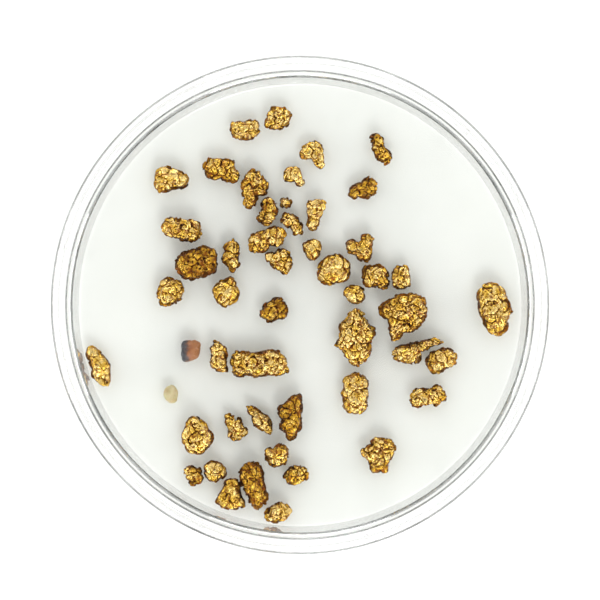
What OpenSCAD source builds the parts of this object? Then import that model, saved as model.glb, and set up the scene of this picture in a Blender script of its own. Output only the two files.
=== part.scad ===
// Round clear sample dish with a lift-off lid, holding loose natural gold nuggets, a garnet pebble and a
// quartz grain. Millimetres, +Z up, origin at the middle of the underside.

/* [Dish base] */
// Outer diameter of the base at its rim
base_d = 85; // [84:0.5:86]
// Outer diameter of the base at its foot, a little less so that it leaves the mould
foot_d = 84.6; // [83.6:0.2:84.8]
// Height of the base, foot to rim
base_h = 13.6; // [13:0.2:16]
// Thickness of the base's wall
base_wall = 1.3; // [1:0.1:1.5]
// Thickness of the base's floor
floor_t = 1.2; // [0.8:0.1:1.4]
// Radius of the inside corner between floor and wall
floor_fillet = 0.4; // [0.2:0.1:1]
// Width of the bevel on each side of the rim
rim_bevel = 0.35; // [0.1:0.05:0.4]
// Height of the bevel on each side of the rim
rim_bevel_h = 0.6; // [0.3:0.1:1]

/* [Lid] */
// Outer diameter of the lid
lid_d = 90; // [89:0.5:92]
// Height of the lid, skirt to stacking ring
lid_h = 6.5; // [5.5:0.5:8]
// Thickness of the lid's top plate
lid_plate = 1.0; // [0.8:0.1:1.2]
// Thickness of the lid's skirt
lid_wall = 1.0; // [0.9:0.1:1.2]
// Radius of the rounded edge round the top of the lid
lid_shoulder = 0.7; // [0.4:0.1:0.8]
// Height of the stacking ring above the top plate
stack_h = 0.5; // [0.3:0.1:0.8]
// Inner diameter of the stacking ring, which the foot of the next dish drops into
stack_d = 85.8; // [85.2:0.2:87]

/* [Vents] */
// Number of vent pads under the lid, each with its rib
vents = 3; // [3:1:6]
// Angle of the first vent pad from +X
vent_angle = 46; // [0:1:119]
// Gap that the vent pads hold open between the base's rim and the lid
vent_gap = 0.4; // [0.4:0.1:0.8]
// Width of a vent pad along the rim
vent_w = 1.6; // [1.5:0.1:4]
// Diameter of the round rib that runs down the skirt from each pad
rib_d = 1.0; // [1:0.1:1.4]
// How far a rib stands in from the skirt
rib_in = 0.6; // [0.6:0.1:0.9]
// Length of a rib down the skirt
rib_drop = 3.2; // [2:0.2:4.4]

/* [Nuggets] */
// How far a nugget's flanks are worn in at random, as a share of its reach
roughness = 0.1; // [0:0.01:0.15]
// How far a nugget's flanks rise and fall at random, as a share of its height
waviness = 0.05; // [0:0.01:0.06]

/* [Hidden] */
$fn = 96;
nugget_count = 49;

foot_round = 0.5;                      // rounding of the base's outer bottom corner
lid_fillet = 0.3;                      // rounding inside the lid, where skirt meets plate
skirt_edge = 0.2;                      // bevel on the skirt's lower edge
ring_slope = 0.2;                      // slope on the inside of the stacking ring
plate_z = base_h + vent_gap;           // underside of the lid's plate
plate_top = plate_z + lid_plate;
lid_top = plate_top + stack_h;
skirt_z = lid_top - lid_h;             // lower edge of the lid's skirt
overlap = 0.2;                         // how far a vent's pad sinks into the lid it is moulded on

plastic = [0.93, 0.95, 0.94, 0.35];
bright_gold = [0.87, 0.66, 0.26];

// The body of a lump, ring by ring from the floor up.
// Each row: [share of its reach, share of its height, uneven or not]
RINGS = [
    [0.55, 0.00, 0],
    [0.96, 0.20, 1],
    [1.00, 0.48, 0],
    [0.88, 0.78, 1],
    [0.52, 0.95, 1]
];

// One row per nugget: [x, y, height, [reach from its middle, in equal turns from +X]]
NUGGETS = [
    [-10.2, 32.4, 2.4, [2.8, 2.85, 2.15, 1.45, 1.9, 2.75, 2.8, 2.5, 2.25, 1.8, 1.95, 2.6]],
    [-4.1, 34.4, 2.6, [2.35, 2.5, 2.5, 2.1, 2.2, 2.1, 2.1, 2.5, 2.3, 2.1, 2.2, 2.3]],
    [-23.9, 23.3, 2.8, [3.5, 2.6, 2.0, 2.3, 2.65, 3.1, 3.0, 3.5, 2.9, 2.2, 2.2, 3.0]],
    [-14.6, 25.0, 2.6, [3.1, 2.85, 2.3, 2.2, 2.8, 3.35, 3.3, 3.0, 2.05, 1.9, 2.6, 3.9]],
    [-8.5, 21.3, 3.0,
        [2.5, 2.65, 3.0, 3.0, 3.8, 3.4, 2.9, 2.6, 2.35, 2.35, 2.7, 3.7, 3.0, 1.3, 1.6, 2.2]],
    [-1.1, 23.7, 1.6, [1.5, 1.5, 1.8, 2.1, 2.1, 2.0, 2.1, 1.95, 1.2, 1.1, 2.4, 2.4]],
    [-5.9, 17.2, 2.8, [1.8, 2.0, 2.3, 2.6, 2.4, 1.1, 1.7, 2.3, 2.4, 2.7, 2.0, 1.8]],
    [-2.6, 18.8, 1.8, [1.05, 1.1, 1.15, 1.25, 1.2, 1.15, 1.1, 1.1, 1.0, 1.0, 0.95, 1.0]],
    [-1.4, 15.3, 2.2,
        [1.3, 1.2, 1.05, 1.2, 1.4, 1.8, 2.3, 2.3, 1.9, 1.35, 1.15, 1.35, 1.7, 2.6, 3.1, 2.1]],
    [-6.1, 12.0, 3.2, [3.3, 3.7, 3.0, 1.9, 1.9, 2.7, 3.75, 3.65, 2.8, 2.1, 1.3, 2.6]],
    [-3.9, 8.1, 2.8, [2.5, 2.6, 2.5, 2.2, 1.8, 2.6, 2.1, 1.55, 1.5, 1.9, 2.9, 2.45]],
    [-21.7, 14.2, 3.2, [3.6, 2.7, 1.85, 1.55, 2.3, 3.45, 3.85, 3.3, 2.2, 2.2, 2.8, 3.8]],
    [-19.1, 8.1, 4.2, [3.85, 4.0, 3.3, 2.4, 2.3, 3.0, 4.0, 4.0, 4.1, 3.3, 3.2, 3.9]],
    [-12.4, 8.9, 2.4, [0.95, 1.5, 2.6, 3.15, 2.55, 2.0, 2.0, 2.1, 2.15, 2.8, 2.2, 1.3]],
    [-24.1, 2.4, 2.8, [2.5, 2.8, 2.7, 2.5, 2.7, 2.4, 2.4, 2.5, 2.8, 2.3, 2.3, 2.6]],
    [-13.7, 2.4, 2.8, [2.5, 2.4, 3.1, 2.4, 2.4, 2.5, 2.5, 2.5, 2.7, 2.85, 2.6, 2.5]],
    [-5.0, -0.8, 2.6, [2.7, 2.4, 2.5, 1.75, 1.6, 1.85, 1.9, 2.7, 2.5, 2.2, 2.2, 2.9]],
    [2.4, 27.9, 1.8, [2.1, 2.2, 2.4, 2.65, 2.35, 2.6, 2.6, 2.25, 1.1, 1.7, 3.0, 2.4]],
    [15.0, 29.2, 2.2,
        [0.8, 0.65, 0.7, 1.1, 2.2, 2.9, 2.7, 1.8, 1.65, 1.6, 1.75, 2.45, 2.9, 3.5, 3.0, 1.7]],
    [11.5, 21.6, 2.4, [2.8, 2.7, 2.6, 1.4, 1.1, 1.6, 2.1, 3.1, 2.1, 1.9, 2.2, 2.3]],
    [2.9, 16.8, 2.4,
        [1.1, 1.6, 2.75, 3.0, 2.8, 2.8, 2.5, 1.9, 1.75, 1.8, 2.0, 3.3, 2.6, 1.5, 1.0, 0.95]],
    [2.4, 10.2, 2.4, [1.7, 1.75, 2.0, 2.15, 2.1, 2.0, 1.75, 1.7, 1.8, 2.0, 1.9, 1.6]],
    [6.3, 6.6, 3.2, [3.1, 3.05, 2.9, 2.9, 2.8, 2.8, 3.0, 3.7, 3.2, 2.8, 3.0, 3.3]],
    [11.1, 10.7, 2.8, [2.1, 3.0, 3.05, 1.4, 1.0, 2.6, 2.75, 2.4, 1.7, 2.5, 3.0, 2.5]],
    [14.1, 5.0, 3.0, [2.4, 2.6, 2.45, 2.4, 2.6, 2.8, 2.7, 2.6, 2.2, 1.35, 2.4, 2.6]],
    [18.5, 5.0, 2.6, [1.7, 1.95, 2.45, 2.15, 2.2, 1.9, 1.6, 1.75, 2.05, 2.3, 2.2, 1.9]],
    [10.0, 2.0, 2.2, [1.9, 2.1, 1.8, 1.6, 1.9, 2.1, 1.9, 1.7, 1.6, 1.8, 2.0, 2.1]],
    [19.1, -1.7, 4.8,
        [4.3, 4.5, 4.6, 4.2, 3.9, 3.8, 3.95, 4.4, 4.4, 3.2, 3.6, 5.6, 3.8, 3.7, 3.8, 4.2]],
    [10.0, -5.9, 3.4,
        [3.6, 4.1, 3.6, 4.6, 5.3, 3.8, 3.7, 3.1, 2.7, 4.0, 3.5, 4.1, 5.4, 5.2, 4.2, 3.3]],
    [20.5, -8.5, 3.0,
        [2.0, 6.6, 4.8, 2.4, 1.9, 1.6, 1.4, 1.5, 1.6, 1.8, 2.2, 3.0,
         3.6, 3.6, 3.3, 2.75, 2.45, 2.4, 2.4, 2.4, 2.4, 2.3, 2.2, 2.0]],
    [26.1, -10.0, 3.4, [3.0, 2.85, 2.4, 2.0, 1.9, 2.4, 2.9, 3.1, 3.0, 2.6, 2.0, 2.5]],
    [35.7, -0.8, 3.8,
        [3.4, 3.2, 3.3, 4.5, 4.85, 4.9, 4.3, 3.1, 2.8, 2.7, 2.85, 3.8, 4.8, 4.9, 3.7, 3.4]],
    [10.2, -16.3, 3.4,
        [2.6, 2.65, 3.5, 3.9, 3.85, 3.8, 3.3, 2.3, 2.7, 2.6, 3.5, 3.8, 4.0, 3.8, 3.4, 2.5]],
    [23.7, -16.9, 2.6,
        [3.5, 3.1, 3.0, 1.8, 1.35, 1.5, 2.1, 2.9, 3.4, 3.5, 3.0, 1.85, 1.7, 1.9, 2.4, 3.0]],
    [14.8, -27.6, 3.0,
        [2.6, 3.4, 3.2, 3.3, 3.1, 3.5, 2.7, 3.4, 3.5, 2.3, 2.8, 3.6, 3.15, 3.5, 2.2, 2.2]],
    [-37.1, -11.1, 2.8,
        [2.05, 1.95, 1.85, 2.2, 2.8, 4.1, 3.6, 2.1, 1.8, 1.5, 1.75, 2.8, 3.6, 4.25, 3.2, 2.35]],
    [-15.0, -9.6, 3.0,
        [1.5, 1.6, 1.75, 2.0, 2.3, 2.4, 3.0, 3.35, 2.5, 2.1, 1.7, 1.6,
         1.65, 1.7, 1.8, 2.2, 2.5, 2.6, 2.65, 3.1, 3.6, 2.2, 1.4, 1.4]],
    [-7.8, -10.8, 4.0,
        [5.5, 5.3, 4.6, 3.5, 2.6, 2.2, 2.15, 2.2, 2.5, 3.05, 4.7, 5.2,
         5.1, 5.1, 4.8, 3.2, 2.75, 2.6, 2.6, 2.45, 2.7, 3.35, 4.6, 5.7]],
    [-18.9, -24.1, 3.6, [3.0, 2.5, 2.7, 3.6, 3.6, 2.9, 3.0, 3.15, 3.5, 3.6, 3.3, 3.0]],
    [-11.9, -22.4, 2.0, [1.8, 1.5, 1.7, 1.05, 2.8, 2.4, 1.75, 1.8, 2.7, 2.65, 2.5, 2.5]],
    [-7.4, -21.3, 2.2,
        [1.9, 1.75, 1.45, 1.5, 1.8, 2.3, 3.7, 1.6, 1.4, 1.4, 1.5, 1.6, 1.8, 2.85, 3.3, 2.5]],
    [-1.7, -20.8, 3.6,
        [2.1, 2.25, 2.85, 4.7, 3.9, 2.9, 3.1, 2.7, 2.1, 1.85, 2.7, 3.3, 4.2, 3.2, 2.9, 2.2]],
    [-4.3, -27.6, 2.8, [2.3, 2.3, 2.3, 1.9, 1.4, 2.2, 2.2, 2.15, 2.5, 2.3, 2.3, 2.4]],
    [-0.8, -31.5, 2.2, [2.3, 2.6, 2.1, 1.9, 2.1, 2.1, 2.2, 2.3, 2.1, 1.7, 1.7, 2.0]],
    [-19.6, -31.5, 2.0, [1.4, 1.5, 1.6, 1.65, 2.0, 2.2, 1.6, 1.4, 1.65, 1.9, 1.9, 1.9]],
    [-15.8, -30.9, 2.6, [2.2, 2.1, 2.1, 2.05, 2.2, 2.3, 2.0, 2.0, 2.0, 1.9, 1.7, 1.9]],
    [-12.8, -34.8, 3.4,
        [2.0, 1.9, 2.0, 2.4, 2.9, 3.0, 2.9, 2.7, 2.3, 2.1, 1.9, 1.9,
         2.0, 2.6, 3.15, 3.1, 3.3, 3.0, 3.1, 3.4, 3.3, 3.7, 2.9, 2.3]],
    [-8.7, -33.4, 4.2,
        [2.35, 2.3, 2.6, 4.1, 4.6, 4.3, 3.5, 2.4, 1.9, 1.7, 1.8, 2.4, 4.0, 4.5, 3.8, 2.7]],
    [-4.1, -38.45, 2.8, [2.75, 2.6, 2.2, 2.1, 1.8, 1.85, 2.4, 2.6, 2.2, 1.9, 1.6, 2.2]]
];
GARNET = [-20.2, -8.4, 2.6, [1.75, 2.2, 2.1, 1.9, 2.0, 2.0, 1.8, 2.1, 2.45, 2.0, 2.0, 1.85]];
QUARTZ = [-23.9, -16.5, 1.8, [1.35, 1.45, 1.6, 1.7, 1.6, 1.45, 1.4, 1.45, 1.6, 1.7, 1.65, 1.5]];

// Points of a round corner about (cx, cy), from angle a to angle b
function corner(cx, cy, r, a, b, steps = 4) =
    [for (i = [0:steps]) let (t = a + (b - a) * i / steps) [cx + r * cos(t), cy + r * sin(t)]];

// Smooth curve through b and c at share f between them, with a before and d after
function smooth(a, b, c, d, f) =
    b + f * (c - a + f * (2 * a - 5 * b + 4 * c - d + f * (3 * (b - c) + d - a))) / 2;

// The closed curve through the evenly spaced values v, read t steps from the first
function round_curve(v, t) =
    let (n = len(v), i = floor(t))
    smooth(v[(i + n - 1) % n], v[i % n], v[(i + 1) % n], v[(i + 2) % n], t - i);

// An uneven stone: rings of points that follow its reach, closed by a middle point below and above
module lump(row, seed) {
    reach = row[3];
    around = len(reach) > 16 ? len(reach) : 2 * len(reach);
    wild = rands(-1, 1, around * len(RINGS), seed);
    flank = [for (i = [0:len(RINGS) - 1], k = [0:around - 1])
        let (turn = 360 * k / around,
             uneven = wild[i * around + k] * RINGS[i][2],
             r = round_curve(reach, len(reach) * k / around) * RINGS[i][0] * (1 - roughness * abs(uneven)),
             z = row[2] * (RINGS[i][1] + waviness * uneven))
        [r * cos(turn), r * sin(turn), z]];
    last = around * len(RINGS) + 1;
    below = [for (k = [0:around - 1]) [0, 1 + k, 1 + (k + 1) % around]];
    above = [for (k = [0:around - 1]) [last, last - around + (k + 1) % around, last - around + k]];
    sides = [for (i = [0:len(RINGS) - 2], k = [0:around - 1], half = [0, 1])
        let (a = 1 + i * around + k, b = 1 + i * around + (k + 1) % around)
        half == 0 ? [a, a + around, b] : [b, a + around, b + around]];
    translate([row[0], row[1], floor_t])
        polyhedron(
            points = concat([[0, 0, 0]], flank, [[0, 0, row[2]]]),
            faces = concat(below, sides, above),
            convexity = 6
        );
}

// Clear dish: flat underside, filleted floor and a drafted wall whose rim is bevelled on both sides
module dish_base() {
    rim_r = base_d / 2;
    foot_r = foot_d / 2;
    bore_r = foot_r - base_wall;
    color(plastic)
        rotate_extrude()
            polygon(concat(
                [[0, 0]],
                corner(foot_r - foot_round, foot_round, foot_round, -90, 0),
                [[rim_r, base_h - rim_bevel_h], [rim_r - rim_bevel, base_h],
                 [rim_r - base_wall + rim_bevel, base_h], [rim_r - base_wall, base_h - rim_bevel_h]],
                corner(bore_r - floor_fillet, floor_t + floor_fillet, floor_fillet, 0, -90),
                [[0, floor_t]]
            ));
}

// One vent: a pad that rests on the base's rim, and a round rib down the skirt that centres the base
module vent() {
    in_r = lid_d / 2 - lid_wall;
    pad_r = base_d / 2 - base_wall;
    translate([pad_r, -vent_w / 2, base_h])
        cube([in_r + overlap - pad_r, vent_w, vent_gap + overlap]);
    translate([in_r - rib_in + rib_d / 2, 0, plate_z - rib_drop])
        cylinder(h = rib_drop + overlap / 2, d = rib_d);
}

// Clear lid: top plate with a raised stacking ring round its edge, a skirt, and the vents inside
module dish_lid() {
    out_r = lid_d / 2;
    in_r = out_r - lid_wall;
    ring_r = stack_d / 2;
    color(plastic)
        union() {
            rotate_extrude()
                polygon(concat(
                    [[0, plate_z]],
                    corner(in_r - lid_fillet, plate_z - lid_fillet, lid_fillet, 90, 0),
                    [[in_r, skirt_z + skirt_edge], [in_r + skirt_edge, skirt_z],
                     [out_r - skirt_edge, skirt_z], [out_r, skirt_z + skirt_edge]],
                    corner(out_r - lid_shoulder, lid_top - lid_shoulder, lid_shoulder, 0, 90),
                    [[ring_r + ring_slope, lid_top], [ring_r, plate_top], [0, plate_top]]
                ));
            for (i = [0:vents - 1])
                rotate([0, 0, vent_angle + i * 360 / vents])
                    vent();
        }
}

// One loose natural gold nugget, by its number
module gold_nugget(number) {
    color(bright_gold)
        lump(NUGGETS[number - 1], number);
}

// Small pebble, rusty red to dark grey
module garnet_pebble() {
    color([0.5, 0.25, 0.13])
        lump(GARNET, 101);
}

// Small pale yellow grain
module quartz_grain() {
    color([0.8, 0.72, 0.52])
        lump(QUARTZ, 102);
}

dish_base();
dish_lid();
for (i = [1:nugget_count])
    gold_nugget(i);
garnet_pebble();
quartz_grain();
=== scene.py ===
"""Looks of a round clear sample dish with a lift-off lid and loose natural gold nuggets."""

import math

import bpy
import numpy as np
from mathutils import Matrix, Vector, noise


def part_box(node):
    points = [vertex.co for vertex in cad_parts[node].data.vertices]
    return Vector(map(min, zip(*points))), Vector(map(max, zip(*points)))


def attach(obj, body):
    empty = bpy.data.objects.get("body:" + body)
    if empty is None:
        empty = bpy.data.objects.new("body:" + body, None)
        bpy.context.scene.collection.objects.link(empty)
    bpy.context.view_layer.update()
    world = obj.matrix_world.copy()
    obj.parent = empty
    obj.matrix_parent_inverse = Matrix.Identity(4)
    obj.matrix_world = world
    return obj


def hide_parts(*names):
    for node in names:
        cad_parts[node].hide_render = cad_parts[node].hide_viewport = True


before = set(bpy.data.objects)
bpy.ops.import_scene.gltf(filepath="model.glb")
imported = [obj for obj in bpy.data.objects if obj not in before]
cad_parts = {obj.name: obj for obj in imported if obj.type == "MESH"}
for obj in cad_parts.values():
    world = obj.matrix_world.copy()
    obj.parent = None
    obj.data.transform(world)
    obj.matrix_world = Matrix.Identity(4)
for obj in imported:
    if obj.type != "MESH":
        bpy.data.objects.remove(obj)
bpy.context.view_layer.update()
scene = bpy.context.scene

# Blender seeds its bend noise from the clock unless it is told a seed.
NOISE_SEED = 2
noise.seed_set(NOISE_SEED)

MM = 0.001

# Dish and lid, in millimetres. Diameters and heights come from the CAD nodes.
BASE_WALL = 1.3
RIM_BEVEL = 0.35
RIM_BEVEL_HEIGHT = 0.6
LID_WALL = 1.0
FLOOR_Z = 1.2
FOOT_DRAFT = 0.2
FLOOR_FILLET = 0.4
FOOT_ROUND = 0.5
PLATE = 1.0
LID_SHOULDER = 0.7
LID_FILLET = 0.3
SKIRT_EDGE = 0.2
STACK_RADIUS = 42.9
STACK_HEIGHT = 0.5
RING_SLOPE = 0.2
VENT_COUNT = 3
VENT_ANGLE = 46
VENT_WIDTH = 1.6
RIB_DIAMETER = 1.0
RIB_IN = 0.6
RIB_DROP = 3.2
SINK = 0.2
PAD_CLEARANCE = 0.03

# Steps round a turned piece, and how near to a corner its held points sit.
ROUND_STEPS = 256
HOLD = 0.02

low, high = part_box("dish_base")
BASE_RADIUS = high.x / MM
BASE_TOP = high.z / MM
low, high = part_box("dish_lid")
LID_RADIUS = high.x / MM
LID_TOP = high.z / MM
SKIRT_Z = low.z / MM
PLATE_TOP = LID_TOP - STACK_HEIGHT
PLATE_Z = PLATE_TOP - PLATE


# Mesh helpers. They take millimetres and make meshes in metres.

def new_object(name, vertices, faces):
    """A mesh object from points in millimetres."""
    mesh = bpy.data.meshes.new(name)
    mesh.from_pydata([tuple(MM * c for c in v) for v in vertices], [], faces)
    mesh.update()
    made = bpy.data.objects.new(name, mesh)
    scene.collection.objects.link(made)
    return made


def arc(centre_r, centre_z, radius, start, end, steps=6):
    """Points of a round corner, from one angle to another, in degrees."""
    angles = [math.radians(start + (end - start) * i / steps) for i in range(steps + 1)]
    return [(centre_r + radius * math.cos(a), centre_z + radius * math.sin(a)) for a in angles]


def held(profile):
    """Adds a point near both ends of a profile's long lines, so that smooth shading keeps them straight."""
    made = [profile[0]]
    for (r0, z0), (r1, z1) in zip(profile, profile[1:]):
        length = math.hypot(r1 - r0, z1 - z0)
        if length > 10 * HOLD:
            for share in (HOLD / length, 1 - HOLD / length):
                made.append((r0 + share * (r1 - r0), z0 + share * (z1 - z0)))
        made.append((r1, z1))
    return made


def lathe(name, profile):
    """Turns a profile, which starts and ends on the axis, into a closed round solid."""
    profile = held(profile)
    turns = [2 * math.pi * k / ROUND_STEPS for k in range(ROUND_STEPS)]
    vertices = [(0, 0, profile[0][1])]
    for r, z in profile[1:-1]:
        vertices += [(r * math.cos(a), r * math.sin(a), z) for a in turns]
    vertices.append((0, 0, profile[-1][1]))
    last = len(vertices) - 1
    rings = len(profile) - 2
    faces = []
    for k in range(ROUND_STEPS):
        after = (k + 1) % ROUND_STEPS
        faces.append((0, 1 + after, 1 + k))
        top = 1 + (rings - 1) * ROUND_STEPS
        faces.append((last, top + k, top + after))
        for ring in range(rings - 1):
            a = 1 + ring * ROUND_STEPS
            b = a + ROUND_STEPS
            faces.append((a + k, a + after, b + after, b + k))
    return new_object(name, vertices, faces)


def applied(source):
    """Replaces an object's mesh by the one its modifiers make."""
    graph = bpy.context.evaluated_depsgraph_get()
    mesh = bpy.data.meshes.new_from_object(source.evaluated_get(graph))
    source.modifiers.clear()
    source.data = mesh
    return source


ALL_SMOOTH = 180


def shade(piece, sharp_degrees=30):
    """Smooth shading, with edges sharper than this kept crisp."""
    for face in piece.data.polygons:
        face.use_smooth = True
    piece.data.set_sharp_from_angle(angle=math.radians(sharp_degrees))


# Materials.

def material(name):
    """An empty material and its node tree."""
    made = bpy.data.materials.new(name)
    made.use_nodes = True
    made.node_tree.nodes.clear()
    return made, made.node_tree


def node(tree, kind, **values):
    """Adds a shader node. A value is a node property, or an input socket where the name is one."""
    made = tree.nodes.new(kind)
    for key, value in values.items():
        socket = made.inputs.get(key.replace("_", " "))
        if socket is None:
            setattr(made, key, value)
        else:
            socket.default_value = value
    return made


def link(tree, source, output, target, entry):
    """Joins one node's output to another node's input."""
    tree.links.new(source.outputs[output], target.inputs[entry])


def ramp(tree, stops):
    """A colour ramp through stops of (place, colour)."""
    made = tree.nodes.new("ShaderNodeValToRGB")
    elements = made.color_ramp.elements
    while len(elements) < len(stops):
        elements.new(0.5)
    for element, (place, colour) in zip(elements, stops):
        element.position = place
        element.color = (*colour, 1)
    return made


def finished(made, tree, shader):
    """Joins a shader to its material's output."""
    out = node(tree, "ShaderNodeOutputMaterial")
    link(tree, shader, 0, out, "Surface")
    return made


def clear_plastic(name, lightest, darkest):
    """Clear polystyrene, glossy and faintly wavy, with smudges between a lightest and a darkest tint."""
    made, tree = material(name)
    place = node(tree, "ShaderNodeTexCoord")
    waves = node(tree, "ShaderNodeTexNoise", Scale=90, Detail=2)
    link(tree, place, "Object", waves, "Vector")
    bump = node(tree, "ShaderNodeBump", Strength=0.02, Distance=0.0002)
    link(tree, waves, "Fac", bump, "Height")
    plastic = node(tree, "ShaderNodeBsdfPrincipled", Roughness=0.02, IOR=1.5, Transmission_Weight=1)
    link(tree, bump, "Normal", plastic, "Normal")
    smudges = node(tree, "ShaderNodeTexNoise", Scale=70, Detail=8, Roughness=0.65, Distortion=0.6)
    link(tree, place, "Object", smudges, "Vector")
    clean = ramp(tree, [(0.35, darkest), (0.6, lightest)])
    link(tree, smudges, "Fac", clean, "Fac")
    link(tree, clean, "Color", plastic, "Base Color")
    passing = node(tree, "ShaderNodeBsdfTransparent", Color=(0.99, 0.995, 0.985, 1))
    path = node(tree, "ShaderNodeLightPath")
    either = node(tree, "ShaderNodeMath", operation="MAXIMUM")
    link(tree, path, "Is Shadow Ray", either, 0)
    link(tree, path, "Is Diffuse Ray", either, 1)
    mix = node(tree, "ShaderNodeMixShader")
    link(tree, either, 0, mix, 0)
    link(tree, plastic, 0, mix, 1)
    link(tree, passing, 0, mix, 2)
    return finished(made, tree, mix)


def native_gold():
    """Gold: bright where it is worn, brown and black where iron stain sits in its hollows and where shade
    is painted on its steep flanks.
    """
    made, tree = material("native_gold")
    # One attribute carries real iron stain and painted shade on the steep flanks.
    stain_and_flank_shade = node(tree, "ShaderNodeAttribute", attribute_name="stain_and_flank_shade")
    colour = ramp(tree, [(0.0, (0.82, 0.59, 0.22)), (0.15, (0.78, 0.50, 0.085)), (0.35, (0.54, 0.29, 0.02)),
                         (0.6, (0.19, 0.075, 0.004)), (1.0, (0.055, 0.018, 0.001))])
    link(tree, stain_and_flank_shade, "Fac", colour, "Fac")
    place = node(tree, "ShaderNodeTexCoord")
    spots = node(tree, "ShaderNodeTexNoise", Scale=1100, Detail=4, Roughness=0.6)
    link(tree, place, "Object", spots, "Vector")
    rust = ramp(tree, [(0.52, (0, 0, 0)), (0.63, (0.8, 0.8, 0.8))])
    link(tree, spots, "Fac", rust, "Fac")
    rusted = node(tree, "ShaderNodeMixRGB", blend_type="MIX", Color2=(0.24, 0.065, 0.008, 1))
    link(tree, rust, "Color", rusted, "Fac")
    link(tree, colour, "Color", rusted, "Color1")
    rough = node(tree, "ShaderNodeMapRange", From_Min=0.0, From_Max=0.8, To_Min=0.16, To_Max=0.5)
    link(tree, stain_and_flank_shade, "Fac", rough, "Value")
    grain = node(tree, "ShaderNodeTexNoise", Scale=5000, Detail=3, Roughness=0.6)
    link(tree, place, "Object", grain, "Vector")
    bump = node(tree, "ShaderNodeBump", Strength=0.8, Distance=0.00006)
    link(tree, grain, "Fac", bump, "Height")
    surface = node(tree, "ShaderNodeBsdfPrincipled", Metallic=1, Coat_Weight=0.12, Coat_Roughness=0.1)
    link(tree, rusted, "Color", surface, "Base Color")
    link(tree, rough, "Result", surface, "Roughness")
    link(tree, bump, "Normal", surface, "Normal")
    return finished(made, tree, surface)


def garnet_stone():
    """A pebble that is rusty orange, and dark blue grey on its left."""
    made, tree = material("garnet")
    place = node(tree, "ShaderNodeTexCoord")
    split = node(tree, "ShaderNodeSeparateXYZ")
    link(tree, place, "Generated", split, "Vector")
    blotch = node(tree, "ShaderNodeTexNoise", Scale=1100, Detail=4)
    link(tree, place, "Object", blotch, "Vector")
    blend = node(tree, "ShaderNodeMath", operation="MULTIPLY_ADD")
    blend.inputs[1].default_value = 0.7
    link(tree, blotch, "Fac", blend, 0)
    link(tree, split, "X", blend, 2)
    colour = ramp(tree, [(0.52, (0.035, 0.035, 0.045)), (0.66, (0.10, 0.05, 0.035)),
                         (0.76, (0.28, 0.09, 0.027)), (1.0, (0.34, 0.13, 0.04))])
    link(tree, blend, 0, colour, "Fac")
    surface = node(tree, "ShaderNodeBsdfPrincipled", Roughness=0.4, Coat_Weight=0.1)
    link(tree, colour, "Color", surface, "Base Color")
    return finished(made, tree, surface)


def quartz_stone():
    """A frosted, pale yellow grain that lets a little light in."""
    made, tree = material("quartz")
    place = node(tree, "ShaderNodeTexCoord")
    cloud = node(tree, "ShaderNodeTexNoise", Scale=900, Detail=3)
    link(tree, place, "Object", cloud, "Vector")
    colour = ramp(tree, [(0.3, (0.44, 0.35, 0.17)), (0.7, (0.60, 0.52, 0.31))])
    link(tree, cloud, "Fac", colour, "Fac")
    surface = node(tree, "ShaderNodeBsdfPrincipled", Roughness=0.5, Subsurface_Weight=0.4,
                   Subsurface_Scale=0.0006)
    link(tree, colour, "Color", surface, "Base Color")
    return finished(made, tree, surface)


# The dish.

def dish_base():
    """The dish: flat floor, drafted wall and a rim bevelled on both sides."""
    foot_radius = BASE_RADIUS - FOOT_DRAFT
    bore = foot_radius - BASE_WALL
    profile = [(0, 0)]
    profile += arc(foot_radius - FOOT_ROUND, FOOT_ROUND, FOOT_ROUND, -90, 0)
    profile += [(BASE_RADIUS, BASE_TOP - RIM_BEVEL_HEIGHT), (BASE_RADIUS - RIM_BEVEL, BASE_TOP)]
    profile += [(BASE_RADIUS - BASE_WALL + RIM_BEVEL, BASE_TOP)]
    profile += [(BASE_RADIUS - BASE_WALL, BASE_TOP - RIM_BEVEL_HEIGHT)]
    profile += arc(bore - FLOOR_FILLET, FLOOR_Z + FLOOR_FILLET, FLOOR_FILLET, 0, -90)
    profile += [(0, FLOOR_Z)]
    return lathe("clear_base", profile)


def box_at(name, low, high, turn):
    """A box between two corners, turned about the axis by an angle in degrees."""
    corners = [(x, y, z) for x in (low[0], high[0]) for y in (low[1], high[1]) for z in (low[2], high[2])]
    faces = [(0, 1, 3, 2), (4, 6, 7, 5), (0, 4, 5, 1), (2, 3, 7, 6), (0, 2, 6, 4), (1, 5, 7, 3)]
    return new_object(name, turned(corners, turn), faces)


def post_at(name, centre_r, radius, low_z, high_z, turn, sides=32):
    """An upright post at a distance from the axis, turned about it by an angle in degrees."""
    angles = [2 * math.pi * k / sides for k in range(sides)]
    ring = [(centre_r + radius * math.cos(a), radius * math.sin(a)) for a in angles]
    vertices = [(x, y, low_z) for x, y in ring] + [(x, y, high_z) for x, y in ring]
    faces = [tuple(reversed(range(sides))), tuple(range(sides, 2 * sides))]
    faces += [(k, (k + 1) % sides, sides + (k + 1) % sides, sides + k) for k in range(sides)]
    return new_object(name, turned(vertices, turn), faces)


def turned(points, degrees):
    """Points turned about the upright axis."""
    c, s = math.cos(math.radians(degrees)), math.sin(math.radians(degrees))
    return [(c * x - s * y, s * x + c * y, z) for x, y, z in points]


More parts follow.
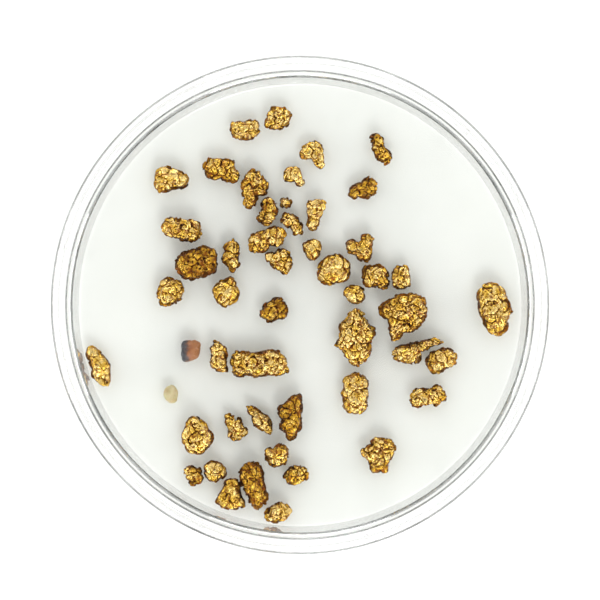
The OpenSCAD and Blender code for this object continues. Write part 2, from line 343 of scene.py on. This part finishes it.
def dish_lid():
    """The lid: plate, stacking ring and skirt, with a pad and a rib at each vent."""
    inside = LID_RADIUS - LID_WALL
    profile = [(0, PLATE_Z)]
    profile += arc(inside - LID_FILLET, PLATE_Z - LID_FILLET, LID_FILLET, 90, 0)
    profile += [(inside, SKIRT_Z + SKIRT_EDGE), (inside + SKIRT_EDGE, SKIRT_Z)]
    profile += [(LID_RADIUS - SKIRT_EDGE, SKIRT_Z), (LID_RADIUS, SKIRT_Z + SKIRT_EDGE)]
    profile += arc(LID_RADIUS - LID_SHOULDER, LID_TOP - LID_SHOULDER, LID_SHOULDER, 0, 90)
    profile += [(STACK_RADIUS + RING_SLOPE, LID_TOP), (STACK_RADIUS, PLATE_TOP), (0, PLATE_TOP)]
    lid = lathe("clear_lid", profile)
    added = []
    for i in range(VENT_COUNT):
        turn = VENT_ANGLE + i * 360 / VENT_COUNT
        pad_low = (BASE_RADIUS - BASE_WALL, -VENT_WIDTH / 2, BASE_TOP + PAD_CLEARANCE)
        pad_high = (inside + SINK, VENT_WIDTH / 2, PLATE_Z + SINK)
        added.append(box_at(f"pad_{i}", pad_low, pad_high, turn))
        centre = inside - RIB_IN + RIB_DIAMETER / 2
        rib_bottom, rib_top = PLATE_Z - RIB_DROP, PLATE_Z + SINK / 2
        added.append(post_at(f"rib_{i}", centre, RIB_DIAMETER / 2, rib_bottom, rib_top, turn))
    for extra in added:
        union = lid.modifiers.new("union", "BOOLEAN")
        union.operation = "UNION"
        union.solver = "EXACT"
        union.object = extra
    applied(lid)
    for extra in added:
        bpy.data.objects.remove(extra)
    return lid


# The nuggets.

# Lengths in millimetres. A nugget's relief may rise a little above its CAD solid.
VOXEL = 0.12
SMOOTHING = 4
RELIEF_ROOM = 0.25
FLOOR_CLEARANCE = 0.01

# Relief: tilted flats with creases between them, smaller flats on top, a slow swell, and round pits.
BEND_RATE = 0.8
BEND = 0.5
FLAT_TILT = 0.75
SMALL_SHARE = 0.45
SMALL_TILT = 0.38
CREASE_WIDTH = 0.3
CREASE_DEPTH = 0.22
SMALL_CREASE_WIDTH = 0.25
SMALL_CREASE_DEPTH = 0.05
SWELL_RATE = 0.5
SWELL = 0.2
RAISE = 0.12
PIT_SPACING = 0.75
PIT_DEPTH = 0.3

# Stain and painted shade: how deep a hollow must be to turn brown with iron stain, and how steep a flank
# must be to turn brown with painted shade.
HOLLOW_ROUNDS = 16
HOLLOW_DEPTH = 0.055
FLANK_START = 0.3
FLANK_END = 0.75
PATCH_RATE = 0.7


def cad_lump(name, source):
    """A fine, even mesh in millimetres over a CAD node's faceted lump."""
    mesh = source.data.copy()
    mesh.transform(Matrix.Scale(1 / MM, 4))
    lump = bpy.data.objects.new(name, mesh)
    scene.collection.objects.link(lump)
    weld = lump.modifiers.new("weld", "WELD")
    weld.merge_threshold = 0.001
    remesh = lump.modifiers.new("remesh", "REMESH")
    remesh.mode = "VOXEL"
    remesh.voxel_size = VOXEL
    smooth = lump.modifiers.new("smooth", "SMOOTH")
    smooth.factor = 0.5
    smooth.iterations = SMOOTHING
    return applied(lump)


def share_between(value, start, end):
    """0 at start, 1 at end, and straight in between. It takes numbers and arrays."""
    return np.clip((value - start) / (end - start), 0.0, 1.0)


def read_points(mesh, what):
    """A mesh's points ("co") or their normals ("normal"), one row each."""
    values = np.zeros(len(mesh.vertices) * 3, np.float32)
    mesh.vertices.foreach_get(what, values)
    return values.reshape(-1, 3).astype(float)


def write_points(mesh, points):
    """Puts points back into a mesh."""
    mesh.vertices.foreach_set("co", points.astype(np.float32).ravel())
    mesh.update()


def smoothed_points(lump, rounds):
    """Where a lump's points go when its relief is smoothed away."""
    copy = lump.copy()
    copy.data = lump.data.copy()
    scene.collection.objects.link(copy)
    smooth = copy.modifiers.new("smooth", "SMOOTH")
    smooth.factor = 0.5
    smooth.iterations = rounds
    points = read_points(applied(copy).data, "co")
    bpy.data.objects.remove(copy)
    return points


def cell_height(place, spacing, tilt):
    """Relief of tilted flats, like hammered facets, and how near the place is to the crease between two."""
    distances, centres = noise.voronoi(place / spacing)
    centre = centres[0]
    lean = noise.cell_vector(centre * 7.7) - Vector((0.5, 0.5, 0.5))
    return tilt * lean.dot(place - centre * spacing), distances[1] - distances[0]


def relief(place, pitted, flat_width):
    """Height in millimetres to add to a lump at a place, and how much of a pit is there."""
    bend = noise.noise_vector(place * BEND_RATE) * BEND
    facet, edge = cell_height(place + bend, flat_width, FLAT_TILT)
    small_facet, small_edge = cell_height(place - bend, SMALL_SHARE * flat_width, SMALL_TILT)
    pit = 1 - share_between(noise.voronoi((place - bend) / PIT_SPACING)[0][0], 0.1, 0.4)
    crease = 1 - share_between(edge, 0.0, CREASE_WIDTH)
    small_crease = 1 - share_between(small_edge, 0.0, SMALL_CREASE_WIDTH)
    rise = RAISE + SWELL * noise.noise(place * SWELL_RATE) + facet + small_facet
    rise -= CREASE_DEPTH * crease + SMALL_CREASE_DEPTH * small_crease
    return rise - PIT_DEPTH * pitted * pit, pitted * pit


def worn(lump, rugged, flat_width, pitted, brown, seed):
    """Facets, creases and pits on a lump, the iron stain that settles in its hollows, and shade painted on
    its steep flanks.

    Stain and painted shade are stored together as one point attribute, from 0 for clean to 1 for black.
    """
    mesh = lump.data
    points = read_points(mesh, "co")
    highest = points[:, 2].max()
    normals = read_points(mesh, "normal")
    shift = Vector((seed * 7.3, seed * 3.1, seed * 5.7))
    rises, pits = np.array([relief(Vector(p) + shift, pitted, flat_width) for p in points]).T
    steep = 1 - np.abs(normals[:, 2])
    points += normals * rugged * rises[:, None]
    points[:, 2] = np.clip(points[:, 2], FLOOR_Z + FLOOR_CLEARANCE, highest + RELIEF_ROOM)
    write_points(mesh, points)
    smoothed = smoothed_points(lump, HOLLOW_ROUNDS)
    hollow = ((smoothed - points) * read_points(mesh, "normal")).sum(1)
    patches = np.array([noise.noise(Vector(p) * PATCH_RATE - shift) for p in points])
    stain_and_shade = 0.95 * share_between(hollow, 0.0, HOLLOW_DEPTH) + 0.5 * pits
    # Steep flanks darken as painted shade; hollows, pits, patches and the extra brown are real stain.
    stain_and_shade += 0.8 * share_between(steep, FLANK_START, FLANK_END) + 0.4 * patches + brown
    attribute = mesh.attributes.new("stain_and_flank_shade", "FLOAT", "POINT")
    attribute.data.foreach_set("value", np.clip(stain_and_shade, 0, 1).astype(np.float32))
    mesh.transform(Matrix.Scale(MM, 4))
    mesh.update()
    shade(lump, ALL_SMOOTH)
    return lump


# Build.

def place_piece(piece, finish, body, node_name):
    """Finishes a piece, ties it to its body, and hides the CAD node it stands for."""
    piece.data.materials.clear()
    piece.data.materials.append(finish)
    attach(piece, body)
    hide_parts(node_name)


def paint_shade_on_edges(piece, lowest, highest, inner, outer):
    """Gives the dark plastic to the sloping faces of an edge, between two heights and two radii: painted
    shade standing in for the dark lines that refraction draws along the rim.
    """
    piece.data.materials.append(painted_shade_plastic)
    for face in piece.data.polygons:
        radius = math.hypot(face.center.x, face.center.y) / MM
        sloping = 0.1 < face.normal.z < 0.9
        if sloping and lowest < face.center.z / MM < highest and inner < radius < outer:
            face.material_index = 1


plastic = clear_plastic("clear_plastic", (0.998, 1.0, 0.994), (0.972, 0.976, 0.968))
# This second plastic's dark tint is painted shade, standing in for the dark lines that refraction of the
# dark surroundings draws at the rim and at the lid's shoulder.
painted_shade_plastic = clear_plastic("clear_plastic_painted_shade", (0.27, 0.285, 0.28), (0.03, 0.033, 0.032))
gold = native_gold()
garnet = garnet_stone()
quartz = quartz_stone()

base = dish_base()
shade(base)
place_piece(base, plastic, "dish", "dish_base")
# Painted shade on the sloping faces of the base's rim, and below on the lid's shoulder.
paint_shade_on_edges(base, BASE_TOP - RIM_BEVEL_HEIGHT, BASE_TOP, BASE_RADIUS - 2 * BASE_WALL, BASE_RADIUS)
lid = dish_lid()
shade(lid)
place_piece(lid, plastic, "lid", "dish_lid")
paint_shade_on_edges(lid, LID_TOP - LID_SHOULDER, LID_TOP, LID_RADIUS - LID_SHOULDER, LID_RADIUS)

# How the nuggets differ, by number: extra stain, the smooth ones with wide flats, and the pitted ones.
NUGGET_COUNT = 49
STAIN = {4: 0.14, 5: 0.1, 7: 0.12, 13: 0.34, 14: 0.16, 17: 0.26, 19: 0.18, 20: 0.26, 24: 0.1, 25: 0.1,
         28: 0.08, 42: 0.34, 44: 0.16, 45: 0.12, 47: 0.12, 48: 0.3}
SMOOTH = (3, 6, 16, 18, 22, 23, 27, 32, 33, 36, 39, 46, 47)
PITTED = (13, 19, 28, 42, 48)

for number in range(1, NUGGET_COUNT + 1):
    cad_name = f"gold_nugget_{number:02d}"
    pitted = 1.0 if number in PITTED else 0.55
    rugged = 0.6 if number in SMOOTH else 0.95
    flat_width = 2.0 if number in SMOOTH else 1.4
    lump = cad_lump(f"nugget_{number:02d}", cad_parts[cad_name])
    worn(lump, rugged, flat_width, pitted, STAIN.get(number, 0.0), number)
    place_piece(lump, gold, f"loose_nugget_{number:02d}", cad_name)

# The two stones are water-worn: low relief, no pits and no extra stain.
STONE_FLAT_WIDTH = 1.9
pebble = worn(cad_lump("pebble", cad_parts["garnet_pebble"]), 0.4, STONE_FLAT_WIDTH, 0, 0, 60)
place_piece(pebble, garnet, "loose_garnet", "garnet_pebble")
grain = worn(cad_lump("grain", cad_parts["quartz_grain"]), 0.3, STONE_FLAT_WIDTH, 0, 0, 61)
place_piece(grain, quartz, "loose_quartz", "quartz_grain")


# The stage: a white table, four low panels round it, a key light and a soft sky.
# The table is in millimetres; the lights are in degrees, metres and watts.

TABLE_HALF = 2000
TABLE_DROP = 0.2
PANEL_ELEVATION = 12
PANEL_DISTANCE = 0.6
PANEL_WIDTH = 0.5
PANEL_HEIGHT = 0.08
PANEL_WATTS = 1.0
KEY_AZIMUTH = 285
KEY_ELEVATION = 50
KEY_DISTANCE = 0.8
KEY_SIDE = 0.3
KEY_WATTS = 1.6


def table():
    """A wide white table, just below the dish."""
    half = TABLE_HALF
    corners = [(-half, -half, 0), (half, -half, 0), (half, half, 0), (-half, half, 0)]
    made = new_object("table", corners, [(0, 1, 2, 3)])
    made.location.z = -TABLE_DROP * MM
    white, tree = material("table_white")
    surface = node(tree, "ShaderNodeBsdfPrincipled", Base_Color=(0.9, 0.9, 0.9, 1), Roughness=0.8)
    made.data.materials.append(finished(white, tree, surface))


def panel(name, azimuth, elevation, distance, width, height, power):
    """A rectangular light that faces the middle of the dish, in degrees, metres and watts."""
    lamp = bpy.data.lights.new(name, "AREA")
    lamp.shape = "RECTANGLE"
    lamp.size = width
    lamp.size_y = height
    lamp.energy = power
    made = bpy.data.objects.new(name, lamp)
    scene.collection.objects.link(made)
    a, e = math.radians(azimuth), math.radians(elevation)
    made.location = distance * Vector((math.cos(e) * math.cos(a), math.cos(e) * math.sin(a), math.sin(e)))
    made.rotation_euler = (-made.location).to_track_quat("-Z", "Y").to_euler()


def soft_sky():
    """A soft white sky, greyer near the horizon and dark straight overhead, where the camera hangs."""
    made = bpy.data.worlds.new("sky")
    made.use_nodes = True
    tree = made.node_tree
    tree.nodes.clear()
    place = node(tree, "ShaderNodeTexCoord")
    split = node(tree, "ShaderNodeSeparateXYZ")
    link(tree, place, "Generated", split, "Vector")
    light = ramp(tree, [(0.0, (0.5, 0.5, 0.5)), (0.3, (0.4, 0.4, 0.4)), (0.42, (0.98, 0.98, 0.98)),
                        (0.94, (1.25, 1.25, 1.25)), (0.975, (0.05, 0.05, 0.05))])
    link(tree, split, "Z", light, "Fac")
    background = node(tree, "ShaderNodeBackground")
    link(tree, light, "Color", background, "Color")
    out = node(tree, "ShaderNodeOutputWorld")
    link(tree, background, 0, out, "Surface")
    return made


table()
for azimuth in (0, 90, 180, 270):
    panel(f"panel_{azimuth}", azimuth, PANEL_ELEVATION, PANEL_DISTANCE,
          PANEL_WIDTH, PANEL_HEIGHT, PANEL_WATTS)
panel("key", KEY_AZIMUTH, KEY_ELEVATION, KEY_DISTANCE, KEY_SIDE, KEY_SIDE, KEY_WATTS)
scene.world = soft_sky()

# The camera looks straight down from half a metre above the lid, whose width is LID_SHARE of the picture's.
CAMERA_HEIGHT = 0.5
SENSOR = 36
LID_SHARE = 0.8313
SHIFT_UP = 0.0082
camera_data = bpy.data.cameras.new("camera")
camera = bpy.data.objects.new("camera", camera_data)
scene.collection.objects.link(camera)
camera_data.sensor_width = SENSOR
camera_data.lens = SENSOR * LID_SHARE * CAMERA_HEIGHT / (2 * LID_RADIUS * MM)
camera_data.clip_start = 0.01
camera_data.shift_y = SHIFT_UP
camera.location = (0, 0, PLATE_TOP * MM + CAMERA_HEIGHT)
scene.camera = camera

scene.render.resolution_x = 600
scene.render.resolution_y = 600
scene.view_settings.view_transform = "Standard"
scene.cycles.max_bounces = 32
scene.cycles.transmission_bounces = 32
scene.cycles.glossy_bounces = 32
scene.cycles.transparent_max_bounces = 12
scene.cycles.sample_clamp_indirect = 6
